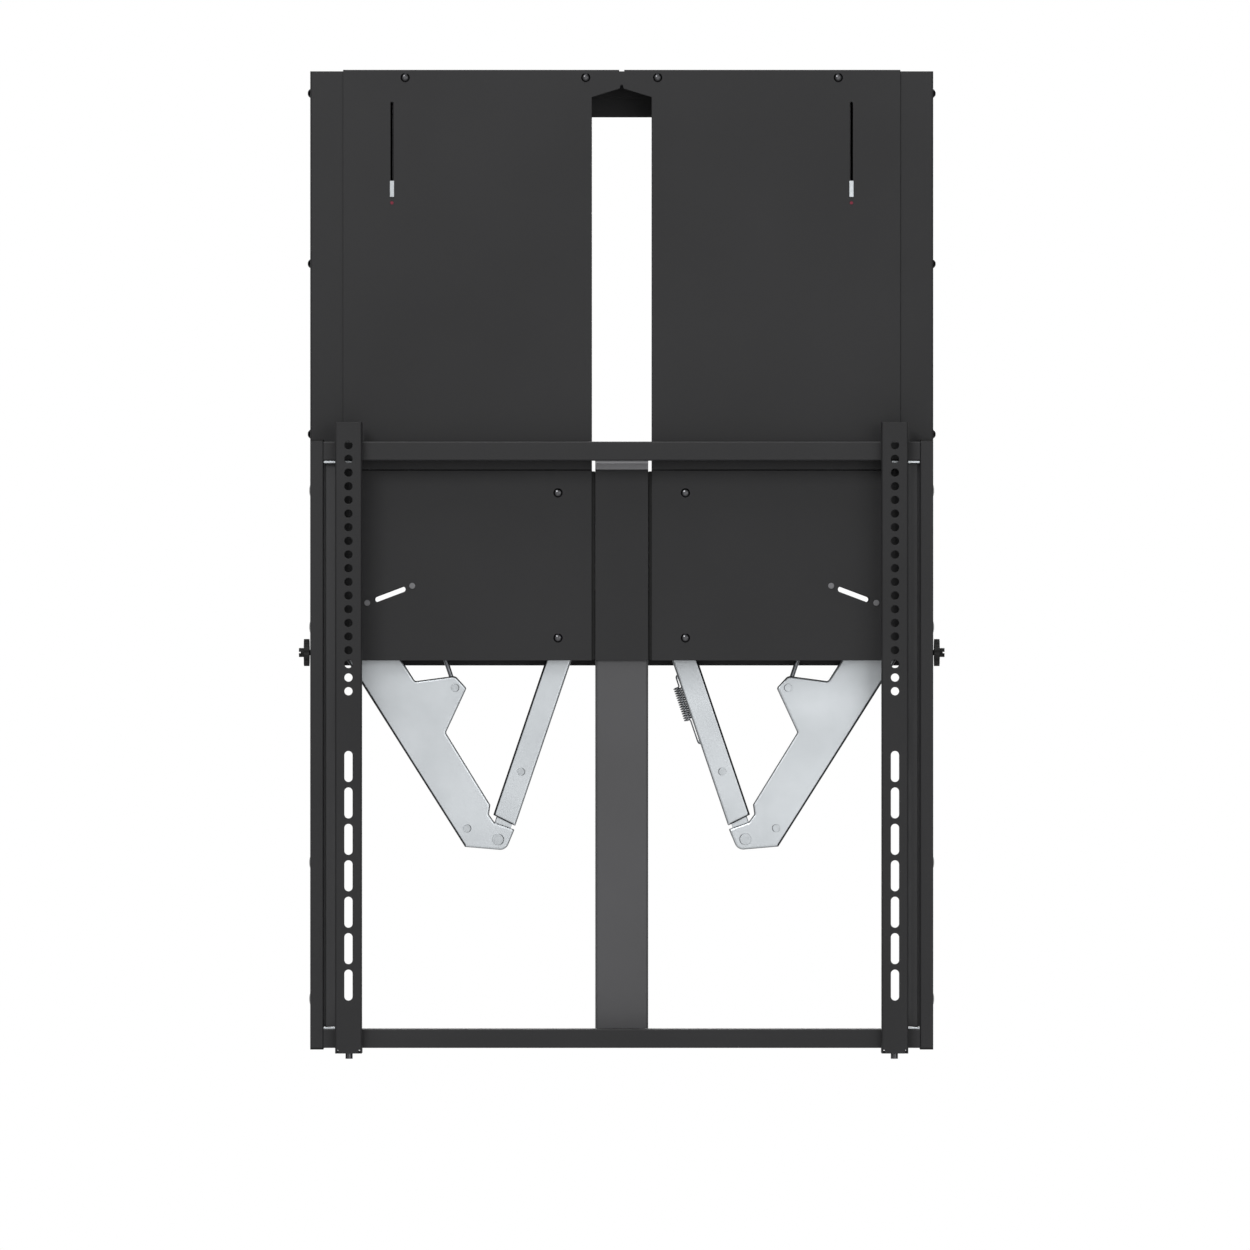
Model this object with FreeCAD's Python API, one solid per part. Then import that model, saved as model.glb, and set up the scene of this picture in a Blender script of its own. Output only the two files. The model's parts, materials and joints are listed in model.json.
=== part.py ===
import FreeCAD, Part
import math
import os

# A spring-balanced, height-adjustable wall mount for a flat display.
# Millimetres, +Z up, the wall is the plane Y = 0 and the display hangs towards -Y.
# The origin is the centre of the four wall bolts, in the wall plane.
# The frame is drawn at the bottom of its travel, as the wall box is usually photographed.

V = FreeCAD.Vector

# Wall box
box_width = 686.6
box_height = 655.0
box_depth = 74.0
sheet = 2.0
side_flange = 43.3
window_half = 33.0
window_from_top = 47.4
window_to_bottom = 214.7
wall_bolt_spread = 150.0
wall_bolt_from_edge = 27.5
wall_bolt_hole_r = 4.5

# Front cover of the upper chamber
cover_from_side = 36.3
cover_sheet = 1.5
cover_to_bottom = 216.2
cover_top_lip = 14.0
slot_return = 24.0
notch_corner_from_top = 28.5
notch_rise = 10.2
notch_tip_rise = 3.3
notch_tip_half = 2.2
relief_half = 2.8
relief_depth = 1.6
inner_cover_screw_x = 39.6
outer_cover_screw_in = 104.7
cover_screw_from_top = 7.0

# Lower panels
panel_to_bottom = 215.3
panel_lift = 5.8
panel_screw_x = 70.2
panel_screw_inset = 24.85
panel_screw_length = 14.0
guide_width = 54.0
guide_height = 28.0
guide_depth = 20.0
guide_clear = 0.4
guide_strip = (6.0, 8.0)

# Top rail
top_back_leg = 24.0
top_front_lip = 13.5

# Moving frame
frame_gap = 4.0
frame_depth = 24.0
frame_inset = 0.8
profile_width = 14.5
frame_wall = 2.0
frame_round = 1.5
frame_height = 670.6
frame_above_panel = 33.5
cap_thickness = 2.0
bar_height = 20.9
top_bar_inset = 2.2
bottom_bar_inset = 1.7
groove_width = 6.0
groove_depth = 7.0
groove_from_back = 8.0

# Slide rails and their shoes
rail_standoff = 2.0
rail_width = 18.0
rail_depth = 14.0
rail_wall = 2.5
rail_slot = 8.0
rail_end_gap = 3.3
rail_from_back = 2.0
rail_screw_inset = 32.8
rail_screw_pitch = 150.2
rail_screw_head_r = 7.8
rail_screw_head = 1.5
rail_spacer_r = 4.5
rail_groove = 1.1
rail_lip = 1.0
end_plate_width = 38.0
end_plate_sheet = 2.4
end_plate_depth = 20.0
shoe_length = 40.0
shoe_upper_from_panel = 27.8
shoe_pitch = 160.0
shoe_gap = 0.5
shoe_base_half = 10.0

# Column
column_half = 29.2
column_depth = 25.0
column_front_gap = 2.0
column_wall = 2.5
column_round = 4.0
column_over_frame = 3.3
carriage_sheet = 2.5
bracket_sheet = 3.0
bracket_half = 25.0
hanger_half = 28.0
hanger_rise = 40.0
hanger_from_wall = 6.0

# Counterbalance linkage, left side, seen from the front
pivot_from_side = 36.3
pivot_from_bottom = 59.3
elbow_right = 170.1
elbow_down = 251.3
lobe_right = 122.7
lobe_down = 83.8
rod_top_x = -17.3
rod_top_rise = 101.4
spring_from_pivot = 53.9
link_length = 217.0
arm_sheet = 3.0
arm_gap = 0.5
crank_width = 51.2
crank_slope = 57.7
crank_flange = 13.0
crank_hub_r = 14.0
crank_foot_cut = 12.5
crank_flange_start = 8.0
# The crank's outline: right of, above, and corner radius, from the elbow pin and then from the lobe pin
foot_corners = (
    (8.9, -12.1, 10.0),
    (18.6, 11.1, 1.5),
    (-3.5, 18.9, 1.5),
    (-9.7, 27.6, 1.5),
    (-8.2, 38.2, 1.5),
)
lobe_corners = ((-9.9, -49.5, 3.0), (13.0, -0.3, 3.0), (0.5, 13.3, 6.0), (-44.0, 7.4, 3.0))
stop_rivet_left = 34.1
stop_rivet_up = 12.2
rod_width = 27.0
rod_flange = 14.5
rod_step = 24.0
rod_step_inner = 20.3
tongue_width = 19.0
tongue_overlap = 28.0
rod_flange_from_top = 22.0
rod_flange_from_elbow = 27.0
rod_rivet_from_elbow = 79.0
chain_gap = 2.5
chain_step = 18.0
shaft_r = 8.0
elbow_pin_r = 6.0
small_pin_r = 4.0
pin_head = 0.8
link_plate = 5.0
eye_r = 8.0
run_clear = 0.06
lift_travel = 400.0

# Springs and their adjusters
spring_r = 12.0
spring_bore_r = 8.5
spring_offset = 20.0
yoke_half = 34.0
yoke_sheet = 4.0
yoke_low = 12.0
yoke_high = 20.0
nut_from_top = 142.5
nut_height = 20.0
nut_depth = 16.0
spindle_r = 5.0
spindle_from_top = 11.5
spindle_length = 144.0
hex_flats = 10.0
hex_length = 16.6
bearing_from_top = 32.5
bearing_sheet = 4.0
bearing_half = 16.0
bearing_leg = 30.0
collar_r = 9.0
collar_height = 3.2

# Tension indicator
slot_width = 3.2
slot_from_top = 33.7
slot_length = 105.3
pointer_width = 4.4
pointer_height = 17.6
pointer_sheet = 0.8
pointer_stem = 2.4
mark_below_slot = 6.0
mark_r = 1.8

# Lock slots beside the crank pivots
lock_slot_from = 36.4
lock_slot_to = 73.3
lock_slot_width = 6.0
lock_slot_rise = 20.7
lock_rivet_gap = 8.1
lock_rivet_r = 3.3

# Display brackets
bracket_from_side = 43.3
bracket_width = 29.4
bracket_wall = 2.0
bracket_depth = 16.0
bracket_above_frame = 18.8
bracket_below_frame = 3.8
bracket_relief_width = 1.4
bracket_relief_height = 4.0
hook_gap = 0.4
hook_thickness = 4.0
tab_back = 18.0
display_hole_r = 4.5
display_hole_from_top = 25.4
display_hole_pitch = 15.0
display_hole_count = 19
display_slot_below = 82.6
display_slot_pitch = 40.0
display_slot_length = 34.0
display_slot_count = 7

# Small fasteners
screw_r = 5.1
screw_height = 1.9
side_screw_from_top = 23.8
side_screw_pitch = 187.9
side_screw_back = 12.0
side_screw_height = 3.2
side_screw_length = 8.0
bolt_shank_r = 3.0
thread_r = 2.5
knob_r = 14.9
knob_thickness = 6.0
knob_below_shoe = 12.9
knob_gap = 0.4
knob_stud_r = 5.0
knob_stud_length = 5.5
knob_flutes = 10
flute_r = 3.0
lock_head_r = 4.0
lock_head_height = 6.3
lock_head_ridges = 12

# Latch spring on the right connecting rod
latch_wire_r = 0.8
latch_coil_r = 4.7
latch_pitch = 2.7
latch_curls = 14
latch_from_elbow = 145.0
latch_from_axis = 17.0
latch_from_plate = 0.6
latch_tail = 26.0
latch_neck = 5.0
latch_post_r = 2.5
latch_post_inset = 5.0
latch_end_gap = 0.3

# Places worked out from the sizes above
half_w = box_width / 2
half_h = box_height / 2
window_top = half_h - window_from_top
window_bottom = window_to_bottom - half_h
wall_bolt_z = half_h - wall_bolt_from_edge
cover_half = half_w - cover_from_side
cover_bottom = cover_to_bottom - half_h
notch_corner_z = half_h - notch_corner_from_top
notch_apex_z = notch_corner_z + notch_rise
notch_tip_z = notch_apex_z + notch_tip_rise
cover_screw_x = (inner_cover_screw_x, half_w - outer_cover_screw_in)
cover_screw_z = half_h - cover_screw_from_top
panel_top = panel_to_bottom - half_h
panel_bottom = panel_lift - half_h
panel_screw_z = (panel_top - panel_screw_inset, panel_bottom + panel_screw_inset)
panel_y = -(box_depth - sheet)
side_screw_y = box_depth - side_screw_back
side_screw_z = [half_h - side_screw_from_top - i * side_screw_pitch for i in range(3)]
frame_half = half_w - frame_inset
frame_back = -(box_depth + frame_gap)
frame_front = frame_back - frame_depth
profile_top = panel_top + frame_above_panel
profile_bottom = profile_top - frame_height
top_bar_z = profile_top - top_bar_inset - bar_height
bottom_bar_z = profile_bottom + bottom_bar_inset
rail_top = top_bar_z - rail_end_gap
rail_bottom = bottom_bar_z + bar_height + rail_end_gap - 1.0
rail_near = -frame_half + profile_width + rail_standoff
rail_back_y = frame_back - rail_from_back
rail_mid_x = rail_near + rail_width / 2
rail_mid_y = rail_back_y - rail_depth / 2
rail_screw_z = (
    top_bar_z - rail_screw_inset,
    top_bar_z - rail_screw_inset - rail_screw_pitch,
    bottom_bar_z + rail_screw_inset + bar_height + rail_screw_pitch,
    bottom_bar_z + rail_screw_inset + bar_height,
)
shoe_z = (panel_top - shoe_upper_from_panel, panel_top - shoe_upper_from_panel - shoe_pitch)
knob_z = shoe_z[1] - knob_below_shoe
column_front = -(box_depth - column_front_gap)
column_back = column_front + column_depth
column_top = profile_top - column_over_frame
crank_pivot = (pivot_from_side - half_w, pivot_from_bottom - half_h)
elbow = (crank_pivot[0] + elbow_right, crank_pivot[1] - elbow_down)
lobe_pin = (crank_pivot[0] + lobe_right, crank_pivot[1] - lobe_down)
rod_top = (rod_top_x, crank_pivot[1] + rod_top_rise)
spring_x = crank_pivot[0] + spring_from_pivot
crank_front = column_back + chain_gap
rod_front = crank_front + arm_sheet + arm_gap
link_back = rod_front + link_plate
yoke_front = link_back + 0.4
spring_y = yoke_front + yoke_sheet / 2
link_drop = math.sqrt(link_length ** 2 - (spring_x - lobe_pin[0]) ** 2)
link_top = (spring_x, lobe_pin[1] + link_drop)
nut_rest_z = half_h - nut_from_top
spindle_top = half_h - spindle_from_top
spindle_bottom = spindle_top - spindle_length
bearing_z = half_h - bearing_from_top
slot_top = half_h - slot_from_top
slot_bottom = slot_top - slot_length
mark_z = slot_bottom - mark_below_slot
lock_rivet_at = (lock_slot_from - lock_rivet_gap, lock_slot_to + lock_rivet_gap)
bracket_x = half_w - bracket_from_side
bracket_top = profile_top + bracket_above_frame
bracket_bottom = profile_bottom - bracket_below_frame
display_hole_top = bracket_top - display_hole_from_top
last_hole_z = display_hole_top - (display_hole_count - 1) * display_hole_pitch
display_slot_top = last_hole_z - display_slot_below


def slab(x, y, z):
    """A block between two values on each axis."""
    low = V(min(x), min(y), min(z))
    return Part.makeBox(abs(x[1] - x[0]), abs(y[1] - y[0]), abs(z[1] - z[0]), low)


def rod(start, end, radius):
    """A round bar between two points."""
    a, b = V(*start), V(*end)
    return Part.makeCylinder(radius, (b - a).Length, a, b - a)


def corner(before, at, after, radius):
    """The start, middle and end of the arc that rounds one corner of an outline."""
    u = V(before[0] - at[0], before[1] - at[1], 0).normalize()
    w = V(after[0] - at[0], after[1] - at[1], 0).normalize()
    half = u.getAngle(w) / 2
    reach = radius / math.tan(half)
    bisector = (u + w).normalize()
    centre = bisector * (radius / math.sin(half))
    middle = centre - bisector * radius
    return [(at[0] + p.x, at[1] + p.y) for p in (u * reach, middle, w * reach)]


def outline(points, place):
    """A closed wire through points (a, b) or (a, b, radius); place puts (a, b) in space."""
    stops = []
    for i, point in enumerate(points):
        radius = point[2] if len(point) > 2 else 0
        if radius:
            stops.append(corner(points[i - 1], point, points[(i + 1) % len(points)], radius))
        else:
            stops.append([point[:2]])
    edges = []
    for i, stop in enumerate(stops):
        if len(stop) == 3:
            edges.append(Part.Arc(*[place(*p) for p in stop]).toShape())
        start, end = place(*stop[-1]), place(*stops[(i + 1) % len(stops)][0])
        if (end - start).Length > 1e-6:
            edges.append(Part.LineSegment(start, end).toShape())
    return Part.Wire(edges)


def prism(points, axis, start, end):
    """An outline pushed along one axis: points are (x, z) for y, (y, z) for x, (x, y) for z."""
    place = {
        "x": lambda a, b: V(start, a, b),
        "y": lambda a, b: V(a, start, b),
        "z": lambda a, b: V(a, b, start),
    }[axis]
    push = {"x": V(end - start, 0, 0), "y": V(0, end - start, 0), "z": V(0, 0, end - start)}[axis]
    return Part.Face(outline(points, place)).extrude(push)


def rectangle(a, b, radius=0):
    """The four corners of a rectangle, each with its radius."""
    return [(a[0], b[0], radius), (a[1], b[0], radius), (a[1], b[1], radius), (a[0], b[1], radius)]


def slot_cutter(centre, length, width, angle, y):
    """A round-ended slot in a sheet that faces the room, at an angle from the X axis."""
    half = (length - width) / 2
    r = width / 2
    body = slab((-half, half), y, (-r, r))
    ends = [rod((s * half, y[0], 0), (s * half, y[1], 0), r) for s in (-1, 1)]
    tool = body.fuse(ends)
    tool.rotate(V(0, 0, 0), V(0, -1, 0), angle)
    tool.translate(V(centre[0], 0, centre[1]))
    return tool


def mirrored(shape):
    """The same piece on the other side of the mount."""
    return shape.mirror(V(0, 0, 0), V(1, 0, 0))


def right_chain(shape):
    """A linkage piece on the right, one step nearer the wall so that the arms can pass."""
    copy = mirrored(shape)
    copy.translate(V(0, chain_step, 0))
    return copy


def both(shape):
    """A left piece with its right twin, as separate solids."""
    return [shape, mirrored(shape)]


def group(solids):
    return Part.makeCompound(solids)


def along(start, angle, distance, aside=0.0):
    """A point a distance along a direction below the horizontal, and aside from it, up and right."""
    a = math.radians(angle)
    return (
        start[0] + distance * math.cos(a) + aside * math.sin(a),
        start[1] - distance * math.sin(a) + aside * math.cos(a),
    )


def lock_slot_centre():
    return along(crank_pivot, -lock_slot_rise, (lock_slot_from + lock_slot_to) / 2)


def lock_slot_cutters(y):
    length = lock_slot_to - lock_slot_from
    left = slot_cutter(lock_slot_centre(), length, lock_slot_width, lock_slot_rise, y)
    return both(left)


def back_plate():
    inner = half_w - sheet
    plate = slab((-inner, inner), (-sheet, 0), (-half_h, half_h))
    window = slab((-window_half, window_half), (-sheet, 0), (window_bottom, window_top))
    bolts = [
        rod((x, -sheet, z), (x, 0, z), wall_bolt_hole_r)
        for x in (-wall_bolt_spread, wall_bolt_spread)
        for z in (-wall_bolt_z, wall_bolt_z)
    ]
    return plate.cut([window] + bolts + lock_slot_cutters((-sheet, 0)))


def side_wall():
    """A folded side: the web against the back plate and a flange along the front."""
    x = -half_w
    section = [
        (x, 0),
        (x + sheet, 0),
        (x + sheet, -box_depth + sheet),
        (x + side_flange, -box_depth + sheet),
        (x + side_flange, -box_depth),
        (x, -box_depth, sheet * 1.2),
    ]
    wall = prism(section, "z", panel_bottom, half_h)
    holes = [rod((x, -side_screw_y, z), (x + sheet, -side_screw_y, z), thread_r) for z in side_screw_z]
    return wall.cut(holes)


def top_rail():
    """A folded channel that closes the top of the box and takes the cover screws."""
    z = half_h
    front = -box_depth
    section = [
        (-sheet, z - sheet - top_back_leg),
        (-sheet, z, sheet),
        (front, z, sheet),
        (front, z - sheet - top_front_lip),
        (front + cover_sheet, z - sheet - top_front_lip),
        (front + cover_sheet, z - sheet),
        (-2 * sheet, z - sheet),
        (-2 * sheet, z - sheet - top_back_leg),
    ]
    inner = half_w - side_flange
    rail = prism(section, "x", -inner, inner)
    access = rod((spring_x, spring_y, z - sheet), (spring_x, spring_y, z), hex_flats * 0.75)
    screws = [
        rod((x, front, cover_screw_z), (x, front + cover_sheet, cover_screw_z), thread_r)
        for x in cover_screw_x
    ]
    cuts = [access, right_chain(access)]
    for screw in screws:
        cuts += both(screw)
    return rail.cut(cuts)


def front_cover():
    """One folded sheet with the central slot, its roof-shaped top and the two indicator slots."""
    back = -box_depth
    front = back - cover_sheet
    top = half_h + cover_sheet
    face = prism(rectangle((-cover_half, cover_half), (cover_bottom, top)), "y", front, back)
    lip = slab((-cover_half, cover_half), (front, front + cover_top_lip), (half_h, top))
    walls = [
        slab((s * window_half, s * (window_half + cover_sheet)), (back, back + slot_return),
             (cover_bottom, notch_corner_z))
        for s in (-1, 1)
    ]
    cover = face.fuse([lip] + walls)
    w = window_half
    rise = (notch_apex_z - notch_corner_z) / w
    tip_base = notch_apex_z - rise * notch_tip_half
    slot = prism(
        [
            (-w, cover_bottom - 1),
            (w, cover_bottom - 1),
            (w, notch_corner_z),
            (notch_tip_half, tip_base),
            (notch_tip_half / 2, notch_tip_z),
            (-notch_tip_half / 2, notch_tip_z),
            (-notch_tip_half, tip_base),
            (-w, notch_corner_z),
        ],
        "y", front, back,
    )
    relief = slab((-relief_half, relief_half), (front, front + cover_top_lip), (top - relief_depth, top))
    middle = (slot_bottom + slot_top) / 2
    indicator = slot_cutter((spring_x, middle), slot_top - slot_bottom, slot_width, 90, (front, back))
    mark = rod((spring_x, front, mark_z), (spring_x, back, mark_z), mark_r)
    cuts = [slot, relief] + both(indicator) + both(mark)
    for x in cover_screw_x:
        cuts += both(rod((x, front, cover_screw_z), (x, back, cover_screw_z), thread_r))
    return cover.cut(cuts)


def lower_panel():
    """The plate in front of the cranks, from the side wall to the column."""
    y = (panel_y, panel_y + sheet)
    plate = prism(
        rectangle((-half_w + sheet, -window_half), (panel_bottom, panel_top)), "y", *y
    )
    cuts = lock_slot_cutters(y)[:1]
    for z in panel_screw_z:
        cuts.append(rod((-panel_screw_x, y[0], z), (-panel_screw_x, y[1], z), thread_r))
    for reach in lock_rivet_at:
        x, z = along(crank_pivot, -lock_slot_rise, reach)
        cuts.append(rod((x, y[0], z), (x, y[1], z), lock_rivet_r / 2))
    return plate.cut(cuts)


def column_guides():
    """Strips and blocks behind the lower panels that keep the column in line."""
    edge = -column_half - guide_clear
    x = (edge - guide_width, edge)
    back = panel_y + sheet
    wide, deep = guide_strip
    strip = slab((edge - wide, edge), (back, back + deep), (panel_bottom + 1.0, panel_top - 1.0))
    blocks = [strip]
    for z in panel_screw_z:
        height = (z - guide_height / 2, z + guide_height / 2)
        block = prism(rectangle(x, height, 2.0), "y", back, back + guide_depth)
        hole = rod((-panel_screw_x, back, z), (-panel_screw_x, back + guide_depth, z), thread_r)
        blocks.append(block.cut(hole))
    return group(both(blocks[0].fuse(blocks[1:])))


def button_screw(head, shank_end, head_r, height, shank_r):
    """A low domed screw; head is where the head meets the sheet, shank_end the tip."""
    a, b = V(*head), V(*shank_end)
    inward = (b - a).normalize()
    ball_r = (head_r ** 2 + height ** 2) / (2 * height)
    ball = Part.makeSphere(ball_r, a + inward * (ball_r - height))
    block = Part.makeCylinder(head_r, height, a - inward * height, inward)
    socket = Part.makeCylinder(head_r * 0.35, height * 0.5, a - inward * height, inward)
    shank = Part.makeCylinder(shank_r, (b - a).Length, a, inward)
    return ball.common(block).cut(socket).fuse(shank)


def cover_screws():
    front = -box_depth - cover_sheet
    solids = []
    for x in cover_screw_x:
        tip = (x, -box_depth + cover_sheet, cover_screw_z)
        solids += both(button_screw((x, front, cover_screw_z), tip, screw_r, screw_height, thread_r))
    return group(solids)


def side_screws():
    solids = []
    for z in side_screw_z:
        head = (-half_w, -side_screw_y, z)
        tip = (-half_w + side_screw_length, -side_screw_y, z)
        solids += both(button_screw(head, tip, screw_r, side_screw_height, thread_r))
    return group(solids)


def panel_screws():
    solids = []
    for z in panel_screw_z:
        head = (-panel_screw_x, panel_y, z)
        tip = (-panel_screw_x, panel_y + panel_screw_length, z)
        solids += both(button_screw(head, tip, screw_r, screw_height, thread_r))
    return group(solids)


def lock_rivets():
    solids = []
    for reach in lock_rivet_at:
        x, z = along(crank_pivot, -lock_slot_rise, reach)
        head = rod((x, panel_y, z), (x, panel_y - 0.8, z), lock_rivet_r)
        shank = rod((x, panel_y, z), (x, panel_y + sheet, z), lock_rivet_r / 2)
        solids += both(head.fuse(shank))
    return group(solids)


def indicator_marks():
    front = -box_depth - cover_sheet
    pin = rod((spring_x, front - 0.3, mark_z), (spring_x, -box_depth, mark_z), mark_r)
    return group(both(pin))


def crank_shaft(hub_front, hub_back):
    """The fixed shaft of one crank, with a collar each side of the hub."""
    x, z = crank_pivot
    front, back = panel_y + sheet, -sheet
    shaft = rod((x, front, z), (x, back, z), shaft_r)
    near = rod((x, front, z), (x, hub_front - 0.3, z), shaft_r + 4)
    far = rod((x, hub_back + 0.3, z), (x, back, z), shaft_r + 4)
    return shaft.fuse([near, far])


def crank_shafts():
    hub_back = crank_front + crank_flange
    left = crank_shaft(crank_front, hub_back)
    right = mirrored(crank_shaft(crank_front + chain_step, hub_back + chain_step))
    return group([left, right])


def guide_shoes():
    """Four sliding shoes on the side flanges, each with a head that runs inside a slide rail."""
    mid = rail_mid_x
    base_front = rail_back_y + 1.6
    neck_half = rail_slot / 2 - shoe_gap
    head_half = rail_width / 2 - rail_wall - shoe_gap
    head_back = rail_back_y - rail_wall - shoe_gap + 0.1
    head_front = rail_back_y - rail_depth + rail_wall + shoe_gap - 0.1
    section = [
        (mid - shoe_base_half, -box_depth),
        (mid - shoe_base_half, base_front),
        (mid - neck_half, base_front),
        (mid - neck_half, head_back),
        (mid - head_half, head_back),
        (mid - head_half, head_front, 1.0),
        (mid + head_half, head_front, 1.0),
        (mid + head_half, head_back),
        (mid + neck_half, head_back),
        (mid + neck_half, base_front),
        (mid + shoe_base_half, base_front),
        (mid + shoe_base_half, -box_depth),
    ]
    solids = []
    for z in shoe_z:
        solids += both(prism(section, "z", z - shoe_length / 2, z + shoe_length / 2))
    return group(solids)


def spindle_bearing():
    """A bracket on the back plate that carries the spindle by its collar."""
    x = (spring_x - bearing_half, spring_x + bearing_half)
    shelf = slab(x, (spring_y - bearing_half, -sheet), (bearing_z, bearing_z + bearing_sheet))
    foot = slab(x, (-sheet - bearing_sheet, -sheet), (bearing_z - bearing_leg, bearing_z + bearing_sheet))
    hole = rod((spring_x, spring_y, bearing_z), (spring_x, spring_y, bearing_z + bearing_sheet),
               spindle_r + run_clear)
    return shelf.fuse(foot).cut(hole)


def spindle_bearings():
    left = spindle_bearing()
    x = (spring_x - bearing_half, spring_x + bearing_half)
    y = (spring_y + chain_step - bearing_half, -sheet)
    shelf = slab(x, y, (bearing_z, bearing_z + bearing_sheet))
    foot = slab(x, (-sheet - bearing_sheet / 2, -sheet), (bearing_z - bearing_leg, bearing_z + bearing_sheet))
    axis = spring_y + chain_step
    top = bearing_z + bearing_sheet
    hole = rod((spring_x, axis, bearing_z), (spring_x, axis, top), spindle_r + run_clear)
    return group([left, mirrored(shelf.fuse(foot).cut(hole))])


def side_profile():
    """A tube at the side of the frame, drilled for the rail screws and the lock knob."""
    x = (-frame_half, -frame_half + profile_width)
    y = (frame_front, frame_back)
    inside_x = (x[0] + frame_wall, x[1] - frame_wall)
    inside_y = (y[0] + frame_wall, y[1] - frame_wall)
    z = (profile_bottom + cap_thickness, profile_top - cap_thickness)
    tube = prism(rectangle(x, y, frame_round), "z", *z).cut(prism(rectangle(inside_x, inside_y), "z", *z))
    holes = [
        rod((x[0], rail_mid_y, at), (x[1], rail_mid_y, at), bolt_shank_r + 0.1) for at in rail_screw_z
    ]
    holes.append(rod((x[0], rail_mid_y, knob_z), (x[1], rail_mid_y, knob_z), bolt_shank_r + run_clear))
    return tube.cut(holes)


def frame_end_caps():
    x = (-frame_half, -frame_half + profile_width)
    y = (frame_front, frame_back)
    solids = []
    for z in ((profile_top - cap_thickness, profile_top), (profile_bottom, profile_bottom + cap_thickness)):
        solids += both(prism(rectangle(x, y, frame_round), "z", *z))
    return group(solids)


def crossbar(z):
    """A drawn bar with a groove along its top that the display brackets hook into."""
    top = z + bar_height
    back = frame_back
    front = frame_front
    g = back - groove_from_back
    section = [
        (front, z, frame_round),
        (back, z, frame_round),
        (back, top, frame_round),
        (g, top),
        (g, top - groove_depth),
        (g - groove_width, top - groove_depth),
        (g - groove_width, top),
        (front, top, frame_round),
    ]
    half = frame_half - profile_width
    cavity = rectangle((front + frame_wall, back - frame_wall),
                       (z + frame_wall, top - groove_depth - frame_wall))
    return prism(section, "x", -half, half).cut(prism(cavity, "x", -half, half))


def slide_rail():
    """A C-shaped rail, open to the wall, that the shoes run in."""
    x = (rail_near, rail_near + rail_width)
    y = (rail_back_y - rail_depth, rail_back_y)
    z = (rail_bottom, rail_top)
    lip_y = y[0] + rail_groove
    lip = slab((x[0] - rail_standoff, x[0] + rail_wall), (lip_y, lip_y + rail_lip), z)
    body = prism(rectangle(x, y, 1.0), "z", *z).fuse(lip)
    hollow = slab((x[0] + rail_wall, x[1] - rail_wall), (y[0] + rail_wall, y[1] - rail_wall), z)
    mouth = slab((rail_mid_x - rail_slot / 2, rail_mid_x + rail_slot / 2), (y[1] - rail_wall, y[1]), z)
    holes = [
        rod((x[0], rail_mid_y, at), (x[0] + rail_wall, rail_mid_y, at), bolt_shank_r + 0.1)
        for at in rail_screw_z
    ]
    holes.append(
        rod((x[0], rail_mid_y, knob_z), (x[0] + rail_wall, rail_mid_y, knob_z), bolt_shank_r + run_clear)
    )
    return body.cut([hollow, mouth] + holes)


def rail_screws():
    """Screws through the side profiles, each with the spacer that stands the rail off."""
    outer = -frame_half
    inner = -frame_half + profile_width
    solids = []
    for z in rail_screw_z:
        screw = button_screw((outer, rail_mid_y, z), (rail_near + rail_wall, rail_mid_y, z),
                             rail_screw_head_r, rail_screw_head, bolt_shank_r)
        spacer = rod((inner, rail_mid_y, z), (rail_near, rail_mid_y, z), rail_spacer_r)
        solids += both(screw.fuse(spacer))
    return group(solids)


def rail_end_plates():
    """The plates between the ends of the slide rails and the crossbars."""
    x = (profile_width - frame_half, profile_width - frame_half + end_plate_width)
    y = (frame_front + 2.0, frame_front + 2.0 + end_plate_depth)
    top = top_bar_z
    bottom = bottom_bar_z + bar_height
    solids = []
    for z in ((top - end_plate_sheet - 0.3, top - 0.3), (bottom, bottom + end_plate_sheet - 0.6)):
        solids += both(slab(x, y, z))
    return group(solids)


def column():
    """The tube between the two crossbars that the connecting rods lift."""
    x = (-column_half, column_half)
    y = (column_front, column_back)
    inside_x = (x[0] + column_wall, x[1] - column_wall)
    inside_y = (y[0] + column_wall, y[1] - column_wall)
    z = (bottom_bar_z, column_top)
    shell = prism(rectangle(x, y, column_round), "z", *z)
    return shell.cut(prism(rectangle(inside_x, inside_y, column_round - column_wall), "z", *z))


def carriage_plate():
    x = (-column_half, column_half)
    z = (panel_bottom, panel_top)
    return prism(rectangle(x, z, 1.0), "y", column_front - carriage_sheet, column_front)


def head_bracket():
    """The angle that ties the column to the underside of the top crossbar."""
    z = top_bar_z
    x = (-column_half, column_half)
    leg = slab(x, (frame_front + 4.0, column_front), (z - bracket_sheet, z))
    tail_y = (column_front - bracket_sheet, column_front)
    tail = slab(x, tail_y, (panel_top + 1.0, z - bracket_sheet))
    return leg.fuse(tail)


def foot_block():
    z = (bottom_bar_z + 1.6, bottom_bar_z + bar_height - 1.6)
    x = (-bracket_half, bracket_half)
    return prism(rectangle(x, z, 2.0), "y", frame_back, column_front)


def rod_hanger():
    """A hooked bracket behind the column that holds the right connecting rod, over the left one."""
    x = (-hanger_half, hanger_half)
    back = -hanger_from_wall
    shelf_z = (rod_top[1] + hanger_rise, rod_top[1] + hanger_rise + bracket_sheet)
    plate_z = (rod_top[1] - rod_width * 0.6, shelf_z[1])
    shelf = slab(x, (column_back, back), shelf_z)
    plate = prism(rectangle(x, plate_z, 2.0), "y", back - bracket_sheet, back)
    return shelf.fuse(plate)


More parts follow.
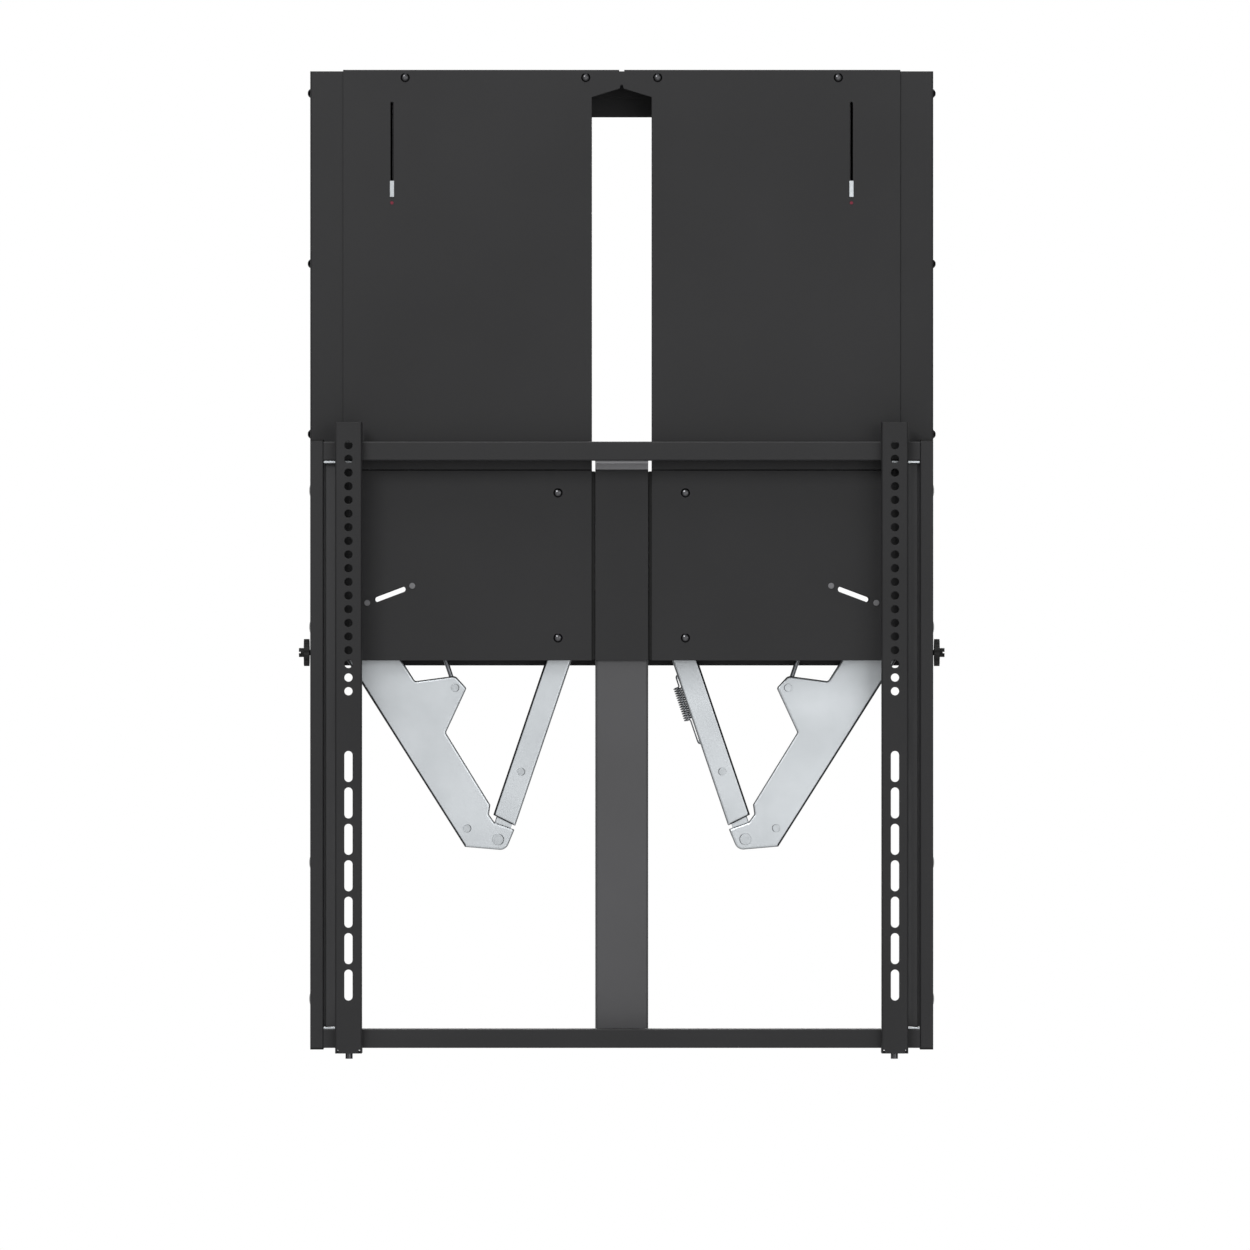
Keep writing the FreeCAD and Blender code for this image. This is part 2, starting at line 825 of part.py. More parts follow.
def crank():
    """The wide arm: a folded plate with a lobe for the pull rod, turning on the box."""
    a = math.radians(crank_slope)
    half = crank_width / 2
    reach = math.hypot(elbow[0] - crank_pivot[0], elbow[1] - crank_pivot[1])
    near_left = along(crank_pivot, crank_slope, 0, -half)
    near_right = along(crank_pivot, crank_slope, 0, half)
    foot_left = along(crank_pivot, crank_slope, reach - crank_foot_cut, -half)
    ex, ez = elbow
    lx, lz = lobe_pin
    points = [foot_left]
    points += [(ex + dx, ez + dz, r) for dx, dz, r in foot_corners]
    points += [(lx + dx, lz + dz, r) for dx, dz, r in lobe_corners]
    points += [
        near_right,
        along(crank_pivot, crank_slope, -half, half)[:2] + (half - 0.01,),
        along(crank_pivot, crank_slope, -half, -half)[:2] + (half - 0.01,),
        near_left,
    ]
    front = crank_front
    plate = prism(points, "y", front, front + arm_sheet)
    inner = arm_sheet
    strip = [
        along(crank_pivot, crank_slope, crank_flange_start, -half),
        foot_left,
        (foot_left[0] + inner * math.sin(a), foot_left[1] + inner * math.cos(a)),
        along(crank_pivot, crank_slope, crank_flange_start, -half + inner),
    ]
    flange = prism(strip, "y", front, front + crank_flange)
    x, z = crank_pivot
    hub = rod((x, front, z), (x, front + crank_flange, z), crank_hub_r)
    solid = plate.fuse([flange, hub])
    solid = rounded_fold(solid, along(crank_pivot, crank_slope, reach / 2, -half), front, arm_sheet * 0.9)
    cuts = [
        rod((x, front, z), (x, front + crank_flange, z), shaft_r + run_clear),
        rod((ex, front, ez), (ex, front + arm_sheet, ez), elbow_pin_r),
        rod((lx, front, lz), (lx, front + arm_sheet, lz), small_pin_r),
    ]
    sx, sz = stop_rivet_place()
    cuts.append(rod((sx, front, sz), (sx, front + arm_sheet, sz), small_pin_r))
    return solid.cut(cuts)


def rounded_fold(solid, near, y, radius):
    """Rounds the long straight edge on plane y that passes close to a point (x, z)."""
    point = Part.Vertex(V(near[0], y, near[1]))
    edges = [e for e in solid.Edges if e.Length > 60 and e.distToShape(point)[0] < 0.1]
    return solid.makeFillet(radius, edges)


def stop_rivet_place():
    return (elbow[0] - stop_rivet_left, elbow[1] + stop_rivet_up)


def crank_pins():
    """The elbow pin, the lobe pin and a rivet, fixed in the crank."""
    front = crank_front
    head = pin_head
    rod_back = rod_front + arm_sheet
    ex, ez = elbow
    lx, lz = lobe_pin
    sx, sz = stop_rivet_place()
    elbow_pin = rod((ex, front - head, ez), (ex, rod_back + 0.5, ez), elbow_pin_r)
    clip = rod((ex, rod_back + 0.5, ez), (ex, rod_back + 2.5, ez), elbow_pin_r + 3)
    link_pin = rod((lx, front - head, lz), (lx, link_back + 0.5, lz), small_pin_r)
    link_clip = rod((lx, link_back + 0.5, lz), (lx, link_back + 2.0, lz), small_pin_r + 2.5)
    rivet = rod((sx, front - head, sz), (sx, front + arm_sheet, sz), small_pin_r)
    return group([elbow_pin.fuse(clip), link_pin.fuse(link_clip), rivet])


def rod_angle():
    """The slope of the connecting rod below the horizontal, seen from its top end."""
    return math.degrees(math.atan2(rod_top[1] - elbow[1], elbow[0] - rod_top[0]))


def rod_length():
    return math.hypot(rod_top[0] - elbow[0], rod_top[1] - elbow[1])


def connecting_rod():
    """The narrow arm: a folded strap in line with the crank, with a tongue behind the crank's foot."""
    slope = rod_angle()
    length = rod_length()
    half = rod_width / 2
    front = crank_front
    end = length - rod_step
    points = [
        along(rod_top, slope, -half, -half) + (half - 0.01,),
        along(rod_top, slope, -half, half) + (half - 0.01,),
        along(rod_top, slope, length - rod_step_inner, half) + (1.0,),
        along(rod_top, slope, end, -half) + (1.0,),
    ]
    plate = prism(points, "y", front, front + arm_sheet)
    strip = [
        along(rod_top, slope, rod_flange_from_top, -half),
        along(rod_top, slope, length - rod_flange_from_elbow, -half),
        along(rod_top, slope, length - rod_flange_from_elbow, arm_sheet - half),
        along(rod_top, slope, rod_flange_from_top, arm_sheet - half),
    ]
    flange = prism(strip, "y", front, front + rod_flange)
    solid = plate.fuse([flange] + rod_tongue(end))
    solid = rounded_fold(solid, along(rod_top, slope, length / 2, -half), front, arm_sheet * 0.9)
    ex, ez = elbow
    tx, tz = rod_top
    rx, rz = along(rod_top, slope, length - rod_rivet_from_elbow)
    cuts = [
        rod((ex, rod_front, ez), (ex, rod_front + arm_sheet, ez), elbow_pin_r + run_clear),
        rod((tx, front, tz), (tx, front + arm_sheet, tz), elbow_pin_r - 1),
        rod((rx, front, rz), (rx, front + arm_sheet, rz), small_pin_r),
    ]
    return solid.cut(cuts)


def rod_tongue(end):
    """The tongue that turns on the elbow pin, and the pad that joins it to the strap."""
    slope = rod_angle()
    half = tongue_width / 2
    tip = rod_length() + half
    start = end - tongue_overlap
    outline_points = [
        along(rod_top, slope, start, -half) + (3.0,),
        along(rod_top, slope, start, half) + (3.0,),
        along(rod_top, slope, tip, half) + (half - 0.01,),
        along(rod_top, slope, tip, -half) + (half - 0.01,),
    ]
    pad = [
        along(rod_top, slope, start + 3.0, 3.0 - half),
        along(rod_top, slope, start + 3.0, half - 3.0),
        along(rod_top, slope, end - 3.0, half - 3.0),
        along(rod_top, slope, end - 3.0, 3.0 - half),
    ]
    tongue = prism(outline_points, "y", rod_front, rod_front + arm_sheet)
    return [tongue, prism(pad, "y", crank_front + arm_sheet, rod_front)]


def rod_pins_left():
    """The pin towards the column, just short of it, and a rivet in the strap."""
    tx, tz = rod_top
    back = crank_front + arm_sheet
    pin = rod((tx, column_back + 0.4, tz), (tx, back + 1.0, tz), elbow_pin_r - 1)
    return group([pin, rod_rivet(crank_front)])


def rod_rivet(front):
    rx, rz = along(rod_top, rod_angle(), rod_length() - rod_rivet_from_elbow)
    return rod((rx, front - 0.4, rz), (rx, front + arm_sheet, rz), small_pin_r)


def rod_pins_right():
    """The right pin points to the wall, just short of the hanger behind it."""
    tx, tz = rod_top
    front = crank_front + chain_step
    hanger_face = -hanger_from_wall - bracket_sheet
    pin = rod((tx, front - 1.0, tz), (tx, hanger_face - 0.4, tz), elbow_pin_r - 1)
    return mirrored(group([pin, rod_rivet(front)]))


def pull_rod():
    """The thin rod from the crank's lobe up to the spring yoke, with an eye at each end."""
    y = (rod_front, link_back)
    middle = (y[0] + y[1]) / 2
    a, b = V(lobe_pin[0], middle, lobe_pin[1]), V(link_top[0], middle, link_top[1])
    along_rod = (b - a).normalize()
    start, end = a + along_rod * (eye_r - 1), b - along_rod * (eye_r - 1)
    bar = Part.makeCylinder(link_plate / 2, (end - start).Length, start, along_rod)
    eyes = [rod((x, y[0], z), (x, y[1], z), eye_r) for x, z in (lobe_pin, link_top)]
    lx, lz = lobe_pin
    tx, tz = link_top
    cuts = [
        rod((lx, y[0], lz), (lx, y[1], lz), small_pin_r + run_clear),
        rod((tx, y[0], tz), (tx, y[1], tz), small_pin_r),
    ]
    return bar.fuse(eyes).cut(cuts)


def pull_rod_pin():
    tx, tz = link_top
    return rod((tx, rod_front - 1.0, tz), (tx, link_back, tz), small_pin_r)


def lower_yoke():
    """The plate that the springs hang their lower hooks on."""
    x = (spring_x - yoke_half, spring_x + yoke_half)
    z = (link_top[1] - yoke_low, link_top[1] + yoke_high)
    return prism(rectangle(x, z, 5.0), "y", yoke_front, yoke_front + yoke_sheet)


def balance_springs():
    """The pair of long balance springs of one side, stretched between their yokes."""
    z = (link_top[1] + yoke_high, nut_rest_z)
    solids = []
    for s in (-1, 1):
        x = spring_x + s * spring_offset
        tube = rod((x, spring_y, z[0]), (x, spring_y, z[1]), spring_r)
        solids.append(tube.cut(rod((x, spring_y, z[0]), (x, spring_y, z[1]), spring_bore_r)))
    return group(solids)


def tension_yoke(y):
    """The nut that the springs hang from, with the pointer that shows in the cover."""
    front = -box_depth - cover_sheet
    x = (spring_x - yoke_half, spring_x + yoke_half)
    z = (nut_rest_z, nut_rest_z + nut_height)
    body = prism(rectangle(x, (y - nut_depth / 2, y + nut_depth / 2), 3.0), "z", *z)
    pz = slot_bottom + 0.6
    stem = slab((spring_x - pointer_stem / 2, spring_x + pointer_stem / 2),
                (front - 0.2, y - nut_depth / 2 + 1), (pz + 2.0, pz + pointer_height - 3.0))
    flag = slab((spring_x - pointer_width / 2, spring_x + pointer_width / 2),
                (front - 0.2 - pointer_sheet, front - 0.2), (pz, pz + pointer_height))
    thread = rod((spring_x, y, z[0]), (spring_x, y, z[1]), spindle_r + run_clear)
    return body.fuse([stem, flag]).cut(thread)


def spindle():
    """The screw that sets the spring tension, with a hexagon end under the top access hole."""
    x, y = spring_x, spring_y
    shelf_top = bearing_z + bearing_sheet
    shank = rod((x, y, spindle_bottom), (x, y, spindle_top - hex_length / 2), spindle_r)
    collar = rod((x, y, bearing_z - 0.3 - collar_height), (x, y, bearing_z - 0.3), collar_r)
    r = hex_flats / math.sqrt(3)
    corners = [
        (x + r * math.cos(math.radians(60 * i)), y + r * math.sin(math.radians(60 * i))) for i in range(6)
    ]
    head = prism(corners, "z", shelf_top + 0.4, spindle_top)
    washer = rod((x, y, shelf_top + 0.4), (x, y, shelf_top + 2.0), collar_r)
    return shank.fuse([collar, head, washer])


def display_bracket():
    """A folded channel that hooks over the top crossbar and carries one side of the display."""
    x = (-bracket_x - bracket_width / 2, -bracket_x + bracket_width / 2)
    web_front = frame_front - bracket_depth
    back = frame_front - hook_gap
    bar_top = top_bar_z + bar_height
    hook_back = frame_back - groove_from_back - 1.0
    finger = bar_top - groove_depth + 0.6
    tab_z = bracket_bottom
    under = bottom_bar_z - hook_gap
    cheek = [
        (web_front, tab_z),
        (back + tab_back, tab_z, 2.0),
        (back + tab_back, under, 2.0),
        (back, under),
        (back, bar_top + hook_gap),
        (hook_back - hook_thickness, bar_top + hook_gap),
        (hook_back - hook_thickness, finger),
        (hook_back, finger),
        (hook_back, bracket_top, 5.0),
        (web_front, bracket_top),
    ]
    rear = back + tab_back
    channel = prism(
        [
            (x[0], web_front, bracket_wall * 1.2),
            (x[1], web_front, bracket_wall * 1.2),
            (x[1], frame_back),
            (x[1] - bracket_wall, frame_back),
            (x[1] - bracket_wall, web_front + bracket_wall),
            (x[0] + bracket_wall, web_front + bracket_wall),
            (x[0] + bracket_wall, frame_back),
            (x[0], frame_back),
        ],
        "z", bracket_bottom, bracket_top,
    )
    tab = slab((x[0] + bracket_wall, x[1] - bracket_wall), (web_front + bracket_wall, rear),
               (tab_z, tab_z + bracket_wall))
    solid = channel.common(prism(cheek, "x", *x)).fuse(tab)
    mid = -bracket_x
    y = (web_front, web_front + bracket_wall)
    cuts = [
        rod((mid, y[0], z), (mid, y[1], z), display_hole_r)
        for z in [display_hole_top - i * display_hole_pitch for i in range(display_hole_count)]
    ]
    for i in range(display_slot_count):
        z = display_slot_top - i * display_slot_pitch
        cuts.append(slot_cutter((mid, z), display_slot_length, 2 * display_hole_r, 90, y))
    for side in (-1, 1):
        edge = mid + side * (bracket_width / 2 - bracket_wall)
        relief = (edge, edge - side * bracket_relief_width)
        cuts.append(slab(relief, y, (bracket_bottom, bracket_bottom + bracket_relief_height)))
    ly = lock_screw_y()
    cuts.append(rod((mid, ly, tab_z), (mid, ly, tab_z + bracket_wall), bolt_shank_r + run_clear))
    return solid.cut(cuts)


def lock_screw_y():
    return (frame_front + frame_back) / 2


def lock_screw():
    """The knurled screw that clamps a display bracket to the bottom crossbar."""
    x, y = -bracket_x, lock_screw_y()
    seat = bracket_bottom - hook_gap
    shank = rod((x, y, seat), (x, y, bottom_bar_z - hook_gap), bolt_shank_r)
    head = rod((x, y, seat - lock_head_height), (x, y, seat), lock_head_r)
    cuts = []
    for i in range(lock_head_ridges):
        a = 2 * math.pi * i / lock_head_ridges
        cx, cy = x + lock_head_r * math.cos(a), y + lock_head_r * math.sin(a)
        cuts.append(rod((cx, cy, seat - lock_head_height), (cx, cy, seat), 0.5))
    return head.cut(cuts).fuse(shank)


def lock_knob():
    """The fluted knob that locks the frame to the lower shoe at the bottom of its travel."""
    y, z = rail_mid_y, knob_z
    face = -half_w - knob_gap
    disc = rod((face - knob_thickness, y, z), (face, y, z), knob_r)
    cuts = []
    for i in range(knob_flutes):
        a = 2 * math.pi * i / knob_flutes
        cy, cz = y + (knob_r + 1.6) * math.cos(a), z + (knob_r + 1.6) * math.sin(a)
        cuts.append(rod((face - knob_thickness, cy, cz), (face, cy, cz), flute_r))
    stud = rod((face - knob_thickness - knob_stud_length, y, z), (face - knob_thickness, y, z), knob_stud_r)
    slot = slab(
        (face - knob_thickness - knob_stud_length, face - knob_thickness - knob_stud_length + 2.0),
        (y - knob_stud_r, y + knob_stud_r), (z - 0.7, z + 0.7),
    )
    shank = rod((face, y, z), (rail_near + rail_wall, y, z), bolt_shank_r)
    return disc.cut(cuts).fuse([stud.cut(slot), shank])


def arc_from(start, tangent, end):
    """The arc that leaves start along tangent and reaches end."""
    chord = end - start
    angle = tangent.getAngle(chord)
    if angle < 1e-6:
        return Part.LineSegment(start, end).toShape()
    step = chord.Length / (2 * math.cos(angle / 2))
    middle = start + (tangent.normalize() + V(chord).normalize()).normalize() * step
    return Part.Arc(start, middle, end).toShape()


def biarc(p0, t0, p1, t1):
    """Two arcs that join two points with the tangents given."""
    v = p1 - p0
    t = t0 + t1
    den = 2 * (1 - t0.dot(t1))
    d = (-v.dot(t) + math.sqrt(v.dot(t) ** 2 + den * v.dot(v))) / den
    joint = (p0 + t0 * d + p1 - t1 * d) * 0.5
    along_chord = (p1 - t1 * d) - (p0 + t0 * d)
    return [arc_from(p0, V(t0), joint), arc_from(joint, along_chord.normalize(), p1)]


def beside_rod(reach, aside):
    """A point in the plane of the latch spring, by its distance from the elbow and aside the rod."""
    x, z = along(rod_top, rod_angle(), rod_length() - reach, aside)
    return V(x, crank_front + arm_sheet + latch_coil_r + latch_wire_r + latch_from_plate, z)


def latch_post_places():
    """Where the two posts stand: the lower one at the end of the long tail."""
    aside = latch_from_axis - latch_post_inset
    high = latch_from_elbow + latch_pitch * latch_curls + 2 * latch_neck
    return beside_rod(latch_from_elbow - latch_tail, aside), beside_rod(high, aside)


def latch_spring():
    """The small spring beside the right connecting rod: one wire, coiled, with two straight ends."""
    a = math.radians(rod_angle())
    axis = V(-math.cos(a), 0, math.sin(a))
    side = V(0, 1, 0)
    other = axis.cross(side)
    origin = beside_rod(latch_from_elbow, latch_from_axis)
    rise = latch_pitch / (2 * math.pi)

    def on_helix(turn):
        t = 2 * math.pi * turn
        place = origin + axis * (latch_pitch * turn)
        place = place + side * (latch_coil_r * math.cos(t)) + other * (latch_coil_r * math.sin(t))
        heading = axis * rise + side * (-latch_coil_r * math.sin(t)) + other * (latch_coil_r * math.cos(t))
        return place, heading.normalize()

    low_post, high_post = latch_post_places()
    reach = latch_post_r + latch_end_gap
    low_bend = origin - axis * latch_neck
    high_bend = origin + axis * (latch_pitch * latch_curls + latch_neck)
    inward = (low_bend - low_post).normalize()
    outward = (high_post - high_bend).normalize()
    start = low_post + inward * reach
    first, heading = on_helix(0)
    edges = [Part.LineSegment(start, low_bend).toShape()]
    edges += biarc(low_bend, inward, first, heading)
    for i in range(latch_curls * 4):
        p0, t0 = on_helix(i / 4)
        p1, t1 = on_helix((i + 1) / 4)
        edges += biarc(p0, t0, p1, t1)
    last, heading = on_helix(latch_curls)
    edges += biarc(last, heading, high_bend, outward)
    edges.append(Part.LineSegment(high_bend, high_post - outward * reach).toShape())
    profile = Part.Wire(Part.makeCircle(latch_wire_r, start, inward))
    sweep = Part.BRepOffsetAPI.MakePipeShell(Part.Wire(edges))
    sweep.add(profile, False, False)
    sweep.build()
    sweep.makeSolid()
    print("latch spring: least gap between curls", round(least_gap(on_helix), 3), "mm")
    return sweep.shape()


def least_gap(on_helix):
    """The smallest space between one curl of wire and the next, measured on points."""
    steps = 48
    here = [on_helix(i / steps)[0] for i in range(steps)]
    span = range(steps // 2, 3 * steps // 2)
    there = {i: on_helix(i / steps)[0] for i in range(3 * steps)}
    return min((p - there[i + k]).Length for i, p in enumerate(here) for k in span) - 2 * latch_wire_r


def latch_posts():
    """The two posts on the back of the right rod that hold the ends of the latch spring."""
    back = crank_front + arm_sheet
    length = 2 * (latch_coil_r + latch_wire_r)
    posts = [
        rod((p.x, back, p.z), (p.x, back + length, p.z), latch_post_r) for p in latch_post_places()
    ]
    return group(posts)


def crossing(p, reach_p, q, reach_q):
    """Where two arms of fixed reach meet, on the side of the first column pose."""
    dx, dz = q[0] - p[0], q[1] - p[1]
    d = math.hypot(dx, dz)
    a = (reach_p ** 2 - reach_q ** 2 + d ** 2) / (2 * d)
    h = math.sqrt(reach_p ** 2 - a ** 2)
    return (p[0] + (a * dx + h * dz) / d, p[1] + (a * dz - h * dx) / d)


def turned(before, after):
    """Degrees that a direction has turned towards the top, on the left side seen from the front."""
    return math.degrees(math.atan2(after[1], after[0]) - math.atan2(before[1], before[0]))


def print_travel():
    """Prints what each linkage piece does while the frame rises through its travel."""
    raised_top = (rod_top[0], rod_top[1] + lift_travel)
    reach = math.hypot(elbow[0] - crank_pivot[0], elbow[1] - crank_pivot[1])
    high_elbow = crossing(crank_pivot, reach, raised_top, rod_length())
    arm = (elbow[0] - crank_pivot[0], elbow[1] - crank_pivot[1])
    high_arm = (high_elbow[0] - crank_pivot[0], high_elbow[1] - crank_pivot[1])
    crank_turn = turned(arm, high_arm)
    strap = (rod_top[0] - elbow[0], rod_top[1] - elbow[1])
    high_strap = (raised_top[0] - high_elbow[0], raised_top[1] - high_elbow[1])
    rod_turn = turned(strap, high_strap)
    lobe = (lobe_pin[0] - crank_pivot[0], lobe_pin[1] - crank_pivot[1])
    a = math.radians(crank_turn)
    high_lobe = (
        crank_pivot[0] + lobe[0] * math.cos(a) - lobe[1] * math.sin(a),
        crank_pivot[1] + lobe[0] * math.sin(a) + lobe[1] * math.cos(a),
    )
    high_link_z = high_lobe[1] + math.sqrt(link_length ** 2 - (spring_x - high_lobe[0]) ** 2)
    link = (link_top[0] - lobe_pin[0], link_top[1] - lobe_pin[1])
    high_link = (spring_x - high_lobe[0], high_link_z - high_lobe[1])
    link_turn = turned(link, high_link)
    print("crank turns", round(crank_turn, 4), "rod turns in space", round(rod_turn, 4))
    print("pull rod turns in space", round(link_turn, 4), "yoke rises", round(high_link_z - link_top[1], 3))
    print("elbow raised", [round(c, 2) for c in high_elbow])


def nodes():
    wall_side = side_wall()
    panel = lower_panel()
    profile = side_profile()
    rail = slide_rail()
    arm = crank()
    pins = crank_pins()
    strap = connecting_rod()
    pull = pull_rod()
    yoke = lower_yoke()
    springs = balance_springs()
    screw = spindle()
    hanger = display_bracket()
    clamp = lock_screw()
    knob = lock_knob()
    pull_pin = pull_rod_pin()
    return {
        "back_plate": back_plate(),
        "side_wall_left": wall_side,
        "side_wall_right": mirrored(wall_side),
        "top_rail": top_rail(),
        "front_cover": front_cover(),
        "lower_panel_left": panel,
        "lower_panel_right": mirrored(panel),
        "column_guides": column_guides(),
        "cover_screws": cover_screws(),
        "side_screws": side_screws(),
        "panel_screws": panel_screws(),
        "lock_slot_rivets": lock_rivets(),
        "indicator_marks": indicator_marks(),
        "crank_shafts": crank_shafts(),
        "guide_shoes": guide_shoes(),
        "spindle_bearings": spindle_bearings(),
        "side_profile_left": profile,
        "side_profile_right": mirrored(profile),
        "frame_end_caps": frame_end_caps(),
        "crossbar_top": crossbar(top_bar_z),
        "crossbar_bottom": crossbar(bottom_bar_z),
        "slide_rail_left": rail,
        "slide_rail_right": mirrored(rail),
        "rail_screws": rail_screws(),
        "rail_end_plates": rail_end_plates(),
        "column": column(),
        "carriage_plate": carriage_plate(),
        "column_head_bracket": head_bracket(),
        "column_foot_block": foot_block(),
        "rod_hanger": rod_hanger(),
        "crank_left": arm,
        "crank_right": right_chain(arm),
        "crank_pins_left": pins,
        "crank_pins_right": right_chain(pins),
        "connecting_rod_left": strap,
        "connecting_rod_right": right_chain(strap),
        "rod_pins_left": rod_pins_left(),
        "rod_pins_right": rod_pins_right(),
        "latch_spring": right_chain(latch_spring()),
        "latch_posts": right_chain(latch_posts()),
        "pull_rod_left": pull,
        "pull_rod_right": right_chain(pull),
        "pull_rod_pin_left": pull_pin,
        "pull_rod_pin_right": right_chain(pull_pin),
        "lower_yoke_left": yoke,
        "lower_yoke_right": right_chain(yoke),
        "balance_springs_left": springs,
        "balance_springs_right": right_chain(springs),
        "tension_yoke_left": tension_yoke(spring_y),
        "tension_yoke_right": mirrored(tension_yoke(spring_y + chain_step)),
        "spindle_left": screw,
        "spindle_right": right_chain(screw),
        "display_bracket_left": hanger,
        "display_bracket_right": mirrored(hanger),
        "lock_screw_left": clamp,
        "lock_screw_right": mirrored(clamp),
        "lock_knob_left": knob,
        "lock_knob_right": mirrored(knob),
    }


def main():
    os.makedirs("parts", exist_ok=True)
    for name, shape in nodes().items():
        if not shape.isValid():
            print("not valid:", name)
        shape.exportStep(f"parts/{name}.step")
    print_travel()


main()
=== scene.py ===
import json
import math

import bpy
from mathutils import Matrix, Vector


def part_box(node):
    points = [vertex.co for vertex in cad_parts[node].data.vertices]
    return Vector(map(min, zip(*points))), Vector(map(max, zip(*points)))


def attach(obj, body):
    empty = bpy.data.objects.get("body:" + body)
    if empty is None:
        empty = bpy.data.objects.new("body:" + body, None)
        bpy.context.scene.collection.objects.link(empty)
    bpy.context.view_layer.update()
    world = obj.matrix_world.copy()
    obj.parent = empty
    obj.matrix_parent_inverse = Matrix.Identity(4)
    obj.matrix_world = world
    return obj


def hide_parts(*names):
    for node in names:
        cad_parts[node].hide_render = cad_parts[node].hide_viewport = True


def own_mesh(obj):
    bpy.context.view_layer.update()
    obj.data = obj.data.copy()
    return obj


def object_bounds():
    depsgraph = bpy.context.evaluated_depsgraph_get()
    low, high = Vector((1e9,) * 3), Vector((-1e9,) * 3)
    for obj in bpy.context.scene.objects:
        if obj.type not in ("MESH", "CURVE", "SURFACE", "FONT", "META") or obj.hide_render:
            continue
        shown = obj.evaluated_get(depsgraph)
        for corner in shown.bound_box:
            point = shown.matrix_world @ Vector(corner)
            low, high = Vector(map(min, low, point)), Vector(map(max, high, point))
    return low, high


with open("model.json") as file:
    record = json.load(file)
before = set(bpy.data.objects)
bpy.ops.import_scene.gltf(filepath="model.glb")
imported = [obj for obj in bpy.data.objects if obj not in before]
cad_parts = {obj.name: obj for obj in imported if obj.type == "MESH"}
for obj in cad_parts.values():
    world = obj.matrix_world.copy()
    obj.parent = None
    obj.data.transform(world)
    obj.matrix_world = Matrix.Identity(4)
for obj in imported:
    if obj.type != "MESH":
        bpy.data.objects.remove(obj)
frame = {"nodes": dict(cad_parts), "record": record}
cad_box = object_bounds()

MM = 0.001

# The photograph was taken square on and from far away, with the mount filling the frame
VIEW_CENTRE = Vector((0.0036, 0.0, -0.2826))
VIEW_WIDTH = 1.376
VIEW_PLANE = -0.085
CAMERA_DISTANCE = 12.0
SENSOR = 36.0

# Soft boxes round the mount: name, place, edge of the square and watts
LAMPS = (
    ("key", (-1.6, -3.9, 2.4), 1.8, 140.0),
    ("fill", (1.8, -4.2, 0.2), 2.2, 40.0),
    ("top", (0.0, -0.7, 2.4), 1.6, 60.0),
    ("back", (0.4, 3.0, 1.2), 2.0, 60.0),
)

# The world's soft light on matt surfaces. A reflection finds white in front and behind, and
# little at the sides; the two limits are shares of a direction that point to the front or back.
SOFT_LIGHT = 0.45
SIDE_REFLECTION = 0.12
SIDE_LIMIT = 0.15
FRONT_LIMIT = 0.75

# The floor lies so low and reaches so far that the front view stays clear of it
FLOOR_DROP = 0.40
FLOOR_SIZE = 3.6

# Real sizes in the finishes. Orange peel is under a millimetre wide; it is drawn coarser to show.
ORANGE_PEEL_MM = 3.0
PAINT_CLOUDS_MM = 180.0
ZINC_PATCHES_MM = 60.0
ROLLING_MARKS_MM = 2.5
TURNING_MARKS_MM = 4.0
OXIDE_GRAIN_MM = 1.5
MOULD_TEXTURE_MM = 3.0
EDGE_ROUNDING_MM = 1.0
FOLD_ROUNDING_MM = 2.4

# Springs: the wires' radii, the coils' turns and mean radius, and the straight wire at the ends
WIRE_SIDES = 8
STEPS_A_TURN = 20
HOOK_ANGLE = math.radians(300)
BALANCE_WIRE = 1.75 * MM
BALANCE_TURNS = 32
BALANCE_TAIL = 2.5 * BALANCE_WIRE
LATCH_WIRE = 0.8 * MM
LATCH_RADIUS = 4.7 * MM
LATCH_TURNS = 14
LATCH_TAIL = 26.0 * MM
LATCH_NECK = 10.0 * MM
LATCH_INSET = 5.0 * MM
LATCH_POST = 2.5 * MM


def linear(hex_colour):
    """An sRGB hex value as linear RGBA."""
    parts = [int(hex_colour[i:i + 2], 16) / 255 for i in (1, 3, 5)]
    bright = [p / 12.92 if p <= 0.04045 else ((p + 0.055) / 1.055) ** 2.4 for p in parts]
    return (*bright, 1.0)


def scale_for(size_mm):
    """The scale of a noise pattern whose features are this wide."""
    return 1.0 / (size_mm * MM)


def add(tree, kind, settings=None, slots=None, **inputs):
    """One node with its properties, and the values or sockets that feed it, by number or name."""
    node = tree.nodes.new(kind)
    for key, value in (settings or {}).items():
        setattr(node, key, value)
    named = {key.replace("_", " "): value for key, value in inputs.items()}
    for key, value in {**(slots or {}), **named}.items():
        socket = node.inputs[key]
        if isinstance(value, bpy.types.NodeSocket):
            tree.links.new(value, socket)
        else:
            socket.default_value = value
    return node


def new_material(name):
    material = bpy.data.materials.new(name)
    material.use_nodes = True
    tree = material.node_tree
    tree.nodes.clear()
    place = add(tree, "ShaderNodeTexCoord").outputs["Object"]
    return material, tree, place


def close(tree, shader):
    add(tree, "ShaderNodeOutputMaterial", Surface=shader.outputs[0])


def spread(tree, factor, dark, light, low=0.3, high=0.7):
    """Two colours laid out over a pattern's values."""
    ramp = add(tree, "ShaderNodeValToRGB", Fac=factor)
    for element, place, colour in zip(ramp.color_ramp.elements, (low, high), (dark, light)):
        element.position = place
        element.color = linear(colour)
    return ramp.outputs["Color"]


def facing_wall(tree):
    """How flat a surface lies against the wall: 1 on a face, 0 on the edges at right angles to it."""
    normal = add(tree, "ShaderNodeTexCoord").outputs["Normal"]
    across = add(tree, "ShaderNodeSeparateXYZ", Vector=normal).outputs["Y"]
    return add(tree, "ShaderNodeMath", {"operation": "ABSOLUTE"}, Value=across).outputs[0]


